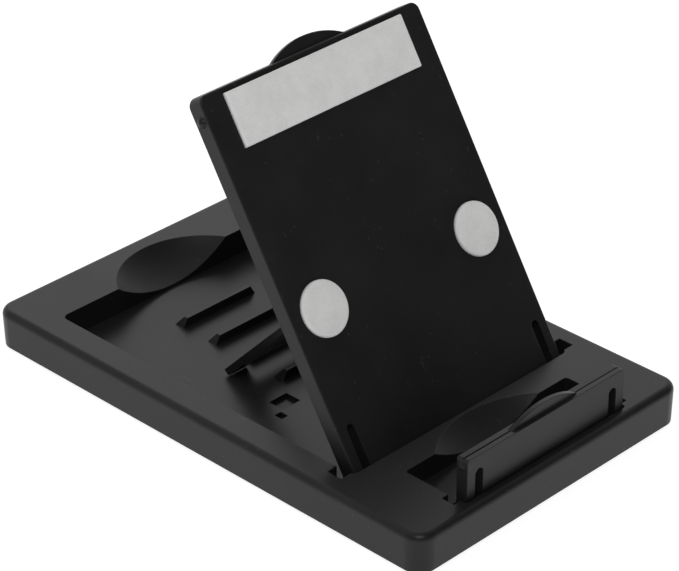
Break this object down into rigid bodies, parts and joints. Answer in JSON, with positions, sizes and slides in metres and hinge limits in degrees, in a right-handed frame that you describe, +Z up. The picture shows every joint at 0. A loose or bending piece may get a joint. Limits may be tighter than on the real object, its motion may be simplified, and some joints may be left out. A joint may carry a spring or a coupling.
{
  "type": "photo album stand",
  "caption": "Folding tabletop stand: a reclined panel propped by a rear leg on a ribbed base, with a low flip-up lip in front.",
  "frame": {"origin": "centre of the stand's footprint on the table surface", "axes": "+Z up, +Y from the front lip towards the rear, +X to the right when facing the panel's front"},
  "size_m": [0.0984, 0.1566, 0.0985],
  "materials": {
    "black_plastic": "fine satin moulded texture",
    "white_foam": "soft closed-cell foam",
    "grey_rubber": "matte"
  },
  "bodies": {
    "stand_base": {"base": "black_plastic", "foot_front_left": "grey_rubber", "foot_front_right": "grey_rubber", "foot_rear_left": "grey_rubber", "foot_rear_right": "grey_rubber"},
    "panel": {"back_panel": "black_plastic", "strip_pad": "white_foam", "round_pad_left": "white_foam", "round_pad_right": "white_foam"},
    "leg": {"prop_leg": "black_plastic"},
    "lip": {"front_lip": "black_plastic"}
  },
  "joints": [
    {"name": "panel_hinge", "type": "hinge", "parent": "stand_base", "child": "panel", "pos_m": [0, -0.044, 0.0043], "axis": [-1, 0, 0], "range_deg": [0, 58.3]},
    {"name": "leg_hinge", "type": "hinge", "parent": "panel", "child": "leg", "pos_m": [0, -0.02157, 0.0451], "axis": [1, 0, 0], "range_deg": [0, 104.2]},
    {"name": "lip_hinge", "type": "hinge", "parent": "stand_base", "child": "lip", "pos_m": [0, -0.0717, 0.0078], "axis": [-1, 0, 0], "range_deg": [0, 90]}
  ],
  "couplings": [
    {"joint": "leg_hinge", "follows": "panel_hinge", "ratio": 1.7856}
  ]
}
